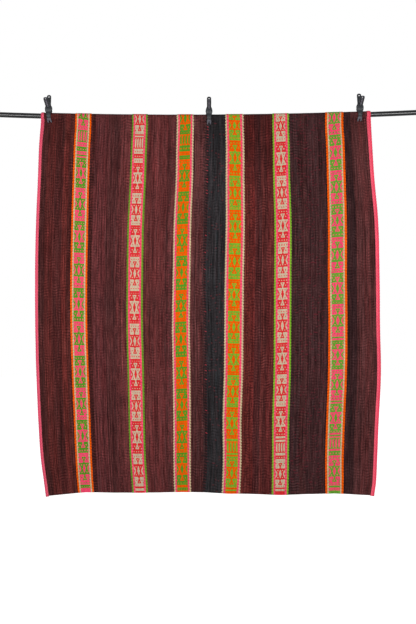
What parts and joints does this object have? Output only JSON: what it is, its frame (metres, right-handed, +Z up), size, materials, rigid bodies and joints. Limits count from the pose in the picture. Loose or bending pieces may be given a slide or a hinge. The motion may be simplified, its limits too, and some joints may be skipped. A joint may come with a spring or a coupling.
{
  "type": "woven rug hung over a rod with spring clips",
  "caption": "Warp-faced woven rug sewn from panels, with patterned bands and bound edges, folded over a slim round rod and pinched under it by black spring clips.",
  "frame": {"origin": "middle of the rod's length, on the rod's axis", "axes": "+X along the rod to the right as seen from the front, -Y out of the rug's front, +Z up"},
  "size_m": [2, 0.0955, 1.7482],
  "materials": {
    "wool_left": "brown warp-faced wool with red, green, pink, cream and orange bands",
    "wool_right": "brown and near-black warp-faced wool with orange, green, red, cream and pink bands",
    "braid": "pink tubular wool braid",
    "rod_black": "gloss black",
    "clip_plastic": "satin black",
    "clip_steel": "plated steel"
  },
  "bodies": {
    "root": {"panel_left": "wool_left", "panel_right": "wool_right", "binding_left": "braid", "binding_right": "braid", "rod": "rod_black", "clip_left_front_arm": "clip_plastic", "clip_left_back_arm": "clip_plastic", "clip_middle_front_arm": "clip_plastic", "clip_middle_back_arm": "clip_plastic", "clip_right_front_arm": "clip_plastic", "clip_right_back_arm": "clip_plastic", "clip_left_pin": "clip_steel", "clip_left_spring": "clip_steel", "clip_middle_pin": "clip_steel", "clip_middle_spring": "clip_steel", "clip_right_pin": "clip_steel", "clip_right_spring": "clip_steel"}
  },
  "joints": []
}
